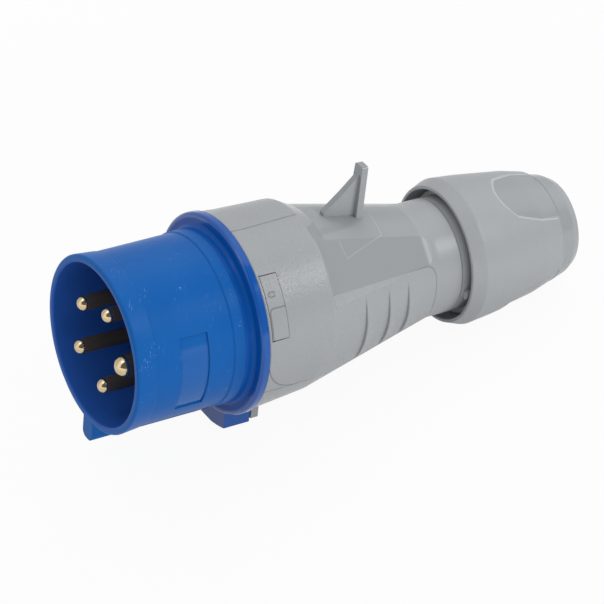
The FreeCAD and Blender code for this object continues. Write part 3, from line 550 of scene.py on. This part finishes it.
def handle_grey():
    """The grey handle: grained pads; smooth panels and strip, painted darker as shade; tail; and its moulded
    lines.
    """
    material, nodes, shader = new_material("handle_grey")
    where = nodes.group(AXIAL)
    along, arc = where["Along"], where["Arc"]
    on_bell = nodes.fall(along, BELL_REAR - PAD_SOFT, BELL_REAR)
    behind = nodes.less(on_bell)
    bell_corner = corner_edge(nodes, nodes.minus(BELL_FRONT - PAD_SOFT, along), nodes.minus(arc, PAD_ARC),
                              PAD_CORNER)
    arc_per_degree = nodes.times(where["Radius"], math.pi / 180)
    rise = nodes.times(nodes.minus(PAD_TOP_TURN, nodes.absolute(where["Turn"])), arc_per_degree)
    pad_top = corner_edge(nodes, nodes.minus(along, TAIL_START), rise, PAD_TOP_CORNER)
    strip_edge = nodes.minus(where["Turn"], nodes.minus(STRIP_TURN, nodes.times(along, STRIP_LEAN)))
    pad = nodes.both(
        nodes.fall(bell_corner, -PAD_SOFT, 0.0),
        nodes.ramp(nodes.absolute(strip_edge), 0.0, STRIP_SOFT),
        nodes.either(on_bell, nodes.fall(pad_top, -PAD_SOFT, 0.0)),
    )
    seam = nodes.line(nodes.minus(arc, SEAM_ARC), *SEAM_LINE)
    lines = nodes.either(
        nodes.both(nodes.line(nodes.times(strip_edge, ARC_PER_STRIP_DEGREE), *STRIP_LINE), on_bell, 0.5),
        nodes.both(nodes.line(bell_corner, *CORNER_LINE), nodes.fall(along, *CORNER_LINE_END)),
        nodes.both(seam, nodes.fall(along, *SEAM_END)),
        nodes.both(nodes.line(nodes.minus(along, TAIL_RING), *SEAM_LINE), behind),
        nodes.both(nodes.line(pad_top, *SEAM_LINE), nodes.ramp(along, *PAD_TOP_LINE_START), 0.35),
    )
    down = nodes.times(where["Turn"], ARC_PER_INSERT_DEGREE)
    insert = nodes.least(*(segment(nodes, along, down, *ends) for ends in zip(INSERT, INSERT[1:])))
    insert = nodes.line(insert, *INSERT_LINE)
    grain = nodes.group(GRAIN)
    tail = nodes.ramp(along, *TAIL_SMOOTH)
    # Painted shade: the smooth panels and strip behind the bell are painted darker
    shaded_panel = nodes.both(nodes.less(pad), nodes.less(tail), behind)
    tone = nodes.mix(shaded_panel, grey_tone(nodes, grain), GREY_SMOOTH_SHADE)
    tone = nodes.mix(nodes.times(lines, 0.4), tone, GREY_LINE)
    tone = nodes.mix(nodes.times(insert, 0.4), tone, GREY_PALE)
    smooth_rough = nodes.times(nodes.less(pad), nodes.blend(tail, PANEL_ROUGH, TAIL_ROUGH))
    paint(nodes, shader, tone, nodes.plus(smooth_rough, nodes.times(pad, PAD_ROUGH)))
    height = nodes.times(grain["Height"], nodes.blend(pad, SMOOTH_GRAIN, 1.0))
    height = nodes.minus(height, nodes.times(lines, LINE_DEPTH))
    surface(nodes, shader, height, *RELIEF["handle"])
    return material


def tab_grey():
    """The lock tab: as the pad round it, with a lined field in its lower half and a small padlock."""
    material, nodes, shader = new_material("tab_grey")
    where = nodes.group(AXIAL)
    grain = nodes.group(GRAIN)
    field = corner_edge(nodes, nodes.minus(FIELD_START, where["Along"]), nodes.minus(FIELD_ARC, where["Arc"]),
                        FIELD_CORNER)
    across = nodes.minus(where["Along"], MARK_ALONG)
    down = nodes.minus(where["Arc"], MARK_ARC)
    box = nodes.minus(nodes.either(nodes.absolute(across), nodes.absolute(down)), MARK_HALF)
    shackle = nodes.minus(nodes.reach(nodes.plus(across, SHACKLE_OFF), down), SHACKLE_R)
    shackle = nodes.both(nodes.line(shackle, *SHACKLE_LINE), nodes.ramp(box, *SHACKLE_START))
    lines = nodes.either(nodes.line(field, *FIELD_LINE), nodes.line(box, *MARK_LINE), shackle)
    nodes.feed(shader.inputs["Base Color"], nodes.mix(nodes.times(lines, 0.45), GREY, GREY_LINE))
    shader.inputs["Roughness"].default_value = TAB_ROUGH
    height = nodes.minus(grain["Height"], nodes.times(lines, LINE_DEPTH))
    surface(nodes, shader, height, *RELIEF["tab"])
    return material


def nut_grey():
    """The gland nut: grained, with smooth scoops and a smooth rear collar painted darker as shade, and a pale
    ring painted round the scoops as highlight.
    """
    material, nodes, shader = new_material("nut_grey")
    where = nodes.group(AXIAL)
    along = where["Along"]
    grain = nodes.group(GRAIN)
    cones = []
    for (start, start_r), (end, end_r) in zip(NUT_LAND, NUT_LAND[1:]):
        fall = (start_r - end_r) / (end - start)
        cones.append(nodes.minus(start_r, nodes.times(nodes.minus(along, start), fall)))
    depth = nodes.minus(nodes.least(*cones), where["Radius"])
    behind_front = nodes.ramp(along, *SCOOP_START)
    scoop = nodes.both(nodes.ramp(depth, *SCOOP_DEPTH), behind_front)
    smooth = nodes.either(scoop, nodes.ramp(along, *COLLAR_START))
    # Painted highlight: a pale ring round the scoops, where their sloped walls catch light
    highlight_band = nodes.both(nodes.ramp(depth, *BAND_DEPTH_LOW), nodes.fall(depth, *BAND_DEPTH_HIGH),
                      behind_front, nodes.fall(along, *BAND_END))
    tone = nodes.mix(nodes.times(highlight_band, 0.6), grey_tone(nodes, grain), GREY_PALE)
    # Painted shade: the smooth scoops and rear collar are painted darker
    tone = nodes.mix(nodes.both(smooth, nodes.less(highlight_band)), tone, GREY_SMOOTH_SHADE)
    paint(nodes, shader, tone, nodes.blend(smooth, NUT_ROUGH, SCOOP_ROUGH))
    height = nodes.times(grain["Height"], nodes.blend(smooth, 1.0, SMOOTH_GRAIN))
    surface(nodes, shader, height, *RELIEF["nut"])
    return material


def plain_plastic(name, colour, roughness):
    """A moulded plastic of the inside, with a fine grain."""
    material, nodes, shader = new_material(name)
    grain = nodes.group(GRAIN, Share=0.5)
    paint(nodes, shader, nodes.mix(grain["Tone"], colour, darker(colour, 0.85)),
          nodes.blend(grain["Tone"], roughness, roughness + 0.08))
    surface(nodes, shader, grain["Height"], *RELIEF["plastic"])
    return material


def turned_metal(name, colour, roughness, tool_step, skin_start=None):
    """A turned metal with fine tool rings, and from a place along the axis on a thin dark skin."""
    material, nodes, shader = new_material(name)
    where = nodes.group(AXIAL)
    place = nodes.place()
    wander = nodes.times(nodes.noise(place, TOOL_WANDER, 2.0), 5.0)
    rings = nodes.math("SINE", nodes.plus(nodes.times(where["Along"], math.tau / tool_step), wander))
    stain = nodes.ramp(nodes.noise(place, STAIN, 4.0, 0.65), *STAIN_SPAN)
    tone = nodes.mix(nodes.times(stain, 0.6), colour, darker(colour, 0.72))
    rough = nodes.blend(stain, roughness, roughness + STAIN_ROUGH)
    shader.inputs["Metallic"].default_value = 1.0
    if skin_start is not None:
        skin = nodes.ramp(where["Along"], skin_start - SKIN_SOFT, skin_start + SKIN_SOFT)
        tone = nodes.mix(skin, tone, SKIN)
        rough = nodes.plus(rough, nodes.times(skin, SKIN_ROUGH))
        nodes.feed(shader.inputs["Metallic"], nodes.blend(skin, 1.0, SKIN_METALLIC))
    paint(nodes, shader, tone, rough)
    surface(nodes, shader, nodes.times(rings, 0.5), *RELIEF["metal"])
    return material


def rubber(name, colour):
    """A matt rubber with a dusty bloom."""
    material, nodes, shader = new_material(name)
    place = nodes.place()
    bloom = nodes.ramp(nodes.noise(place, BLOOM, 4.0, 0.6), *BLOOM_SPAN)
    pale = tuple(min(1.0, 1.9 * value + 0.01) for value in colour[:3]) + (1.0,)
    paint(nodes, shader, nodes.mix(nodes.times(bloom, 0.5), colour, pale), nodes.blend(bloom, *RUBBER_ROUGH))
    surface(nodes, shader, nodes.noise(place, RUBBER_PITS, 3.0), *RELIEF["rubber"])
    return material


def close_rule(nodes, shape, finish, out):
    """Real faces with their finish, smoothly shaded."""
    real = nodes.add("GeometryNodeRealizeInstances")
    nodes.feed(real.inputs["Geometry"], shape)
    shade = nodes.add("GeometryNodeSetShadeSmooth")
    nodes.feed(shade.inputs["Geometry"], real.outputs[0])
    dressed = nodes.add("GeometryNodeSetMaterial")
    nodes.feed(dressed.inputs["Geometry"], shade.outputs[0])
    nodes.feed(dressed.inputs["Material"], finish)
    nodes.feed(out[0], dressed.outputs[0])


def bead(nodes, line, radius, scale=1.0):
    """A round bead along a curve."""
    round_line = nodes.add("GeometryNodeCurvePrimitiveCircle")
    round_line.inputs["Resolution"].default_value = BEAD_STEPS
    nodes.feed(round_line.inputs["Radius"], radius)
    tube = nodes.add("GeometryNodeCurveToMesh")
    nodes.feed(tube.inputs["Curve"], line)
    nodes.feed(tube.inputs["Profile Curve"], round_line.outputs["Curve"])
    nodes.feed(tube.inputs["Scale"], scale)
    tube.inputs["Fill Caps"].default_value = True
    return tube.outputs[0]


def stand_on_axis(nodes, shape):
    """A shape made about Z, laid about the plug's axis."""
    laid = nodes.add("GeometryNodeTransform")
    nodes.feed(laid.inputs["Geometry"], shape)
    laid.inputs["Rotation"].default_value = (0.0, math.pi / 2, 0.0)
    return laid.outputs[0]


def thread_rule():
    """A rounded thread ridge about the axis, which runs out at both ends."""
    tree, nodes, given, out = new_tree("thread_ridge", "GeometryNodeTree", [
        ("Start", FLOAT, 0.0), ("Ring", FLOAT, 0.02), ("Pitch", FLOAT, 0.003), ("Turns", FLOAT, 2.0),
        ("Phase", FLOAT, 0.0), ("Bead", FLOAT, 0.0005), ("Finish", FINISH, None)], [("Geometry", SHAPE)])
    coil = nodes.add("GeometryNodeCurveSpiral")
    coil.inputs["Resolution"].default_value = THREAD_STEPS
    nodes.feed(coil.inputs["Rotations"], given["Turns"])
    nodes.feed(coil.inputs["Start Radius"], given["Ring"])
    nodes.feed(coil.inputs["End Radius"], given["Ring"])
    nodes.feed(coil.inputs["Height"], nodes.times(given["Turns"], given["Pitch"]))
    share = nodes.add("GeometryNodeSplineParameter").outputs["Factor"]
    near_end = nodes.least(share, nodes.less(share))
    ridge = bead(nodes, coil.outputs[0], given["Bead"], nodes.ramp(near_end, *THREAD_RUN_OUT))
    turned = nodes.add("GeometryNodeTransform")
    nodes.feed(turned.inputs["Geometry"], stand_on_axis(nodes, ridge))
    nodes.feed(turned.inputs["Translation"], nodes.vector(X=given["Start"]))
    nodes.feed(turned.inputs["Rotation"], nodes.vector(X=given["Phase"]))
    close_rule(nodes, turned.outputs[0], given["Finish"], out)
    return tree


def collar_rule():
    """Round beads on the carrier's face about the pins, a larger one about the earth pin."""
    tree, nodes, given, out = new_tree("pin_collar", "GeometryNodeTree", [
        ("Along", FLOAT, 0.0), ("Circle", FLOAT, 0.014), ("Pins", WHOLE, 5), ("First", FLOAT, 0.0),
        ("Step", FLOAT, 1.0), ("Line Ring", FLOAT, 0.004), ("Earth Ring", FLOAT, 0.005),
        ("Bead", FLOAT, 0.0004), ("Finish", FINISH, None)], [("Geometry", SHAPE)])
    index = nodes.add("GeometryNodeInputIndex").outputs[0]
    turn = nodes.plus(given["First"], nodes.times(index, given["Step"]))
    points = nodes.add("GeometryNodePoints")
    nodes.feed(points.inputs["Count"], given["Pins"])
    nodes.feed(points.inputs["Position"], nodes.vector(
        X=given["Along"],
        Y=nodes.times(nodes.math("SINE", turn), nodes.times(given["Circle"], -1.0)),
        Z=nodes.times(nodes.math("COSINE", turn), given["Circle"]),
    ))
    earth = nodes.math("LESS_THAN", index, 0.5)
    joined = nodes.add("GeometryNodeJoinGeometry")
    for ring, chosen in (("Earth Ring", earth), ("Line Ring", nodes.less(earth))):
        circle = nodes.add("GeometryNodeCurvePrimitiveCircle")
        circle.inputs["Resolution"].default_value = COLLAR_STEPS
        nodes.feed(circle.inputs["Radius"], given[ring])
        faced = stand_on_axis(nodes, bead(nodes, circle.outputs["Curve"], given["Bead"]))
        placed = nodes.add("GeometryNodeInstanceOnPoints")
        nodes.feed(placed.inputs["Points"], points.outputs[0])
        nodes.feed(placed.inputs["Selection"], chosen)
        nodes.feed(placed.inputs["Instance"], faced)
        nodes.feed(joined.inputs[0], placed.outputs[0])
    close_rule(nodes, joined.outputs[0], given["Finish"], out)
    return tree


def grow(name, tree, body, slot, **values):
    """A plain mesh from a geometry rule, riding on a body."""
    seed = bpy.data.objects.new(f"{name}_rule", bpy.data.meshes.new(f"{name}_rule"))
    bpy.context.scene.collection.objects.link(seed)
    modifier = seed.modifiers.new("rule", "NODES")
    modifier.node_group = tree
    for socket in tree.interface.items_tree:
        if socket.in_out == "INPUT" and socket.name in values:
            modifier[socket.identifier] = values[socket.name]
    shaped = seed.evaluated_get(bpy.context.evaluated_depsgraph_get())
    piece = bpy.data.objects.new(name, bpy.data.meshes.new_from_object(shaped))
    seed.modifiers.remove(modifier)
    bpy.data.objects.remove(seed)
    bpy.context.scene.collection.objects.link(piece)
    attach(piece, body)


def grow_threads(finishes):
    """The ridge on the handle's tail, and the one in the nut that runs behind it."""
    tree = thread_rule()
    for name, body, carrier, place in (
        ("tail_thread", "handle", "handle", TAIL_THREAD),
        ("nut_thread", "nut", "gland_nut", NUT_THREAD),
    ):
        grow(name, tree, body, "grey_plastic", Start=place["Start"] * MM, Ring=place["Ring"] * MM,
             Pitch=THREAD_PITCH * MM, Turns=place["Turns"], Phase=math.radians(place["Phase"]),
             Bead=BEAD * MM, Finish=finishes[carrier])


def grow_collars(finishes):
    """The beads about the pins."""
    grow("pin_collars", collar_rule(), "front", "carrier_plastic", **{
        "Along": CARRIER_FACE * MM, "Circle": PIN_CIRCLE * MM, "Pins": PIN_COUNT,
        "First": math.radians(EARTH_TURN), "Step": math.radians(PIN_STEP), "Line Ring": LINE_COLLAR_R * MM,
        "Earth Ring": EARTH_COLLAR_R * MM, "Bead": COLLAR_BEAD * MM, "Finish": finishes["contact_carrier"]})


def dress_solids():
    """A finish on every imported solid."""
    line_brass = turned_metal("line_brass", BRASS, BRASS_ROUGH, BRASS_TOOL_STEP, LINE_SKIN_START)
    earth_brass = turned_metal("earth_brass", BRASS, BRASS_ROUGH, BRASS_TOOL_STEP, EARTH_SKIN_START)
    steel = turned_metal("screw_steel", STEEL, STEEL_ROUGH, STEEL_TOOL_STEP)
    inner = plain_plastic("inner_grey", INNER_GREY, INNER_ROUGH)
    finishes = {
        "sleeve_housing": sleeve_blue(),
        "handle": handle_grey(),
        "lock_tab": tab_grey(),
        "gland_nut": nut_grey(),
        "contact_carrier": plain_plastic("carrier_black", CARRIER, CARRIER_ROUGH),
        "carrier_retainer": inner,
        "clamp_cage": inner,
        "slip_washer": inner,
        "retainer_screw": steel,
        "lock_pin": steel,
        "housing_seal": rubber("seal_rubber", SEAL),
        "cable_grommet": rubber("grommet_rubber", GROMMET),
    }
    for pole in ("earth", "l1", "l2", "l3", "n"):
        finishes[f"pin_{pole}"] = earth_brass if pole == "earth" else line_brass
        finishes[f"terminal_screw_{pole}"] = steel
    for name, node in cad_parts.items():
        node.data.materials.clear()
        node.data.materials.append(finishes[name])
    return finishes


def make_camera():
    """The camera at the photograph's viewing angle."""
    azimuth, elevation = math.radians(AZIMUTH), math.radians(ELEVATION)
    back = Vector((-math.sin(azimuth) * math.cos(elevation), -math.cos(azimuth) * math.cos(elevation),
                   math.sin(elevation)))
    data = bpy.data.cameras.new("camera")
    data.lens = LENS
    data.shift_x, data.shift_y = SHIFT
    data.clip_start, data.clip_end = CLIP
    camera = bpy.data.objects.new("camera", data)
    level = back.to_track_quat("Z", "Y").to_matrix()
    turned = level @ Matrix.Rotation(math.radians(ROLL), 3, "Z")
    camera.matrix_world = Matrix.LocRotScale(AIM + back * DISTANCE, turned, None)
    bpy.context.scene.collection.objects.link(camera)
    bpy.context.scene.camera = camera


def make_lamp(name, azimuth, elevation, distance, size, power, mirrored):
    """A soft box that faces the plug, seen from it at an azimuth from -Y towards +X."""
    turn, rise = math.radians(azimuth), math.radians(elevation)
    back = Vector((math.sin(turn) * math.cos(rise), -math.cos(turn) * math.cos(rise), math.sin(rise)))
    data = bpy.data.lights.new(name, "AREA")
    data.shape = "RECTANGLE"
    data.size, data.size_y = size
    data.energy = power
    lamp = bpy.data.objects.new(name, data)
    lamp.location = AIM + back * distance
    lamp.rotation_euler = back.to_track_quat("Z", "Y").to_euler()
    lamp.visible_glossy = mirrored
    bpy.context.scene.collection.objects.link(lamp)


def make_world():
    """Soft light from all round, white behind the plug, and in reflections a dim upper front."""
    world = bpy.data.worlds.new("studio")
    world.use_nodes = True
    nodes = Nodes(world.node_tree)
    background = world.node_tree.nodes["Background"]
    towards = nodes.add("ShaderNodeSeparateXYZ")
    nodes.feed(towards.inputs[0], nodes.add("ShaderNodeTexCoord").outputs["Generated"])
    _, y, z = towards.outputs
    dim = nodes.both(nodes.ramp(z, *DIM_ABOVE), nodes.fall(y, *DIM_UNTIL))
    mirrored = nodes.times(nodes.ramp(y, *REAR, 1.0, REAR_LEVEL), nodes.blend(dim, 1.0, DIM_LEVEL))
    plain = nodes.blend(nodes.seen(), WORLD_LEVEL, 1.0)
    glossy = nodes.glossy()
    strength = nodes.plus(nodes.both(plain, nodes.less(glossy)), nodes.both(mirrored, glossy))
    nodes.feed(background.inputs["Strength"], strength)
    background.inputs["Color"].default_value = (1.0, 1.0, 1.0, 1.0)
    bpy.context.scene.world = world


def pale_floor(centre):
    """A pale diffuse floor that eyes and gloss see nearly white, clear far out and from below."""
    material = bpy.data.materials.new("pale_floor")
    material.use_nodes = True
    nodes = Nodes(material.node_tree)
    material.node_tree.nodes.remove(material.node_tree.nodes["Principled BSDF"])
    output = material.node_tree.nodes["Material Output"]
    diffuse = nodes.add("ShaderNodeBsdfDiffuse")
    diffuse.inputs["Color"].default_value = FLOOR_TONE
    white = nodes.add("ShaderNodeEmission")
    lit = nodes.add("ShaderNodeMixShader")
    nodes.feed(lit.inputs[0], nodes.plus(nodes.times(nodes.seen(), FLOOR_SEEN),
                                         nodes.times(nodes.glossy(), FLOOR_MIRRORED)))
    nodes.feed(lit.inputs[1], diffuse.outputs[0])
    nodes.feed(lit.inputs[2], white.outputs[0])
    mapping = nodes.add("ShaderNodeMapping", vector_type="POINT")
    nodes.feed(mapping.inputs["Vector"], nodes.place())
    mapping.inputs["Location"].default_value = -centre
    away = nodes.add("ShaderNodeVectorMath", operation="LENGTH")
    nodes.feed(away.inputs[0], mapping.outputs[0])
    below = nodes.add("ShaderNodeNewGeometry").outputs["Backfacing"]
    clear = nodes.add("ShaderNodeBsdfTransparent")
    shown = nodes.add("ShaderNodeMixShader")
    nodes.feed(shown.inputs[0], nodes.either(nodes.ramp(away.outputs["Value"], *FLOOR_FADE), below))
    nodes.feed(shown.inputs[1], lit.outputs[0])
    nodes.feed(shown.inputs[2], clear.outputs[0])
    nodes.feed(output.inputs["Surface"], shown.outputs[0])
    return material


def make_floor():
    """The floor under the lug and the nut."""
    run, climb = UNDER_NUT - UNDER_LUG
    slope = math.atan2(climb, run)
    level = UNDER_LUG.y + (FLOOR_CENTRE - UNDER_LUG.x) * math.tan(slope)
    centre = Vector((FLOOR_CENTRE, 0.0, level)) * MM
    mesh = bmesh.new()
    bmesh.ops.create_grid(mesh, x_segments=2, y_segments=2, size=FLOOR_HALF * MM)
    turn = Matrix.Rotation(-slope, 4, "Y")
    bmesh.ops.transform(mesh, matrix=Matrix.Translation(centre) @ turn, verts=mesh.verts)
    data = bpy.data.meshes.new("floor")
    mesh.to_mesh(data)
    mesh.free()
    data.materials.append(pale_floor(centre))
    floor = bpy.data.objects.new("floor", data)
    bpy.context.scene.collection.objects.link(floor)


FINISHES = dress_solids()
grow_threads(FINISHES)
grow_collars(FINISHES)
make_camera()
make_world()
for lamp_name, lamp_values in LAMPS.items():
    make_lamp(lamp_name, *lamp_values)
make_floor()
bpy.context.scene.view_settings.view_transform = "Standard"
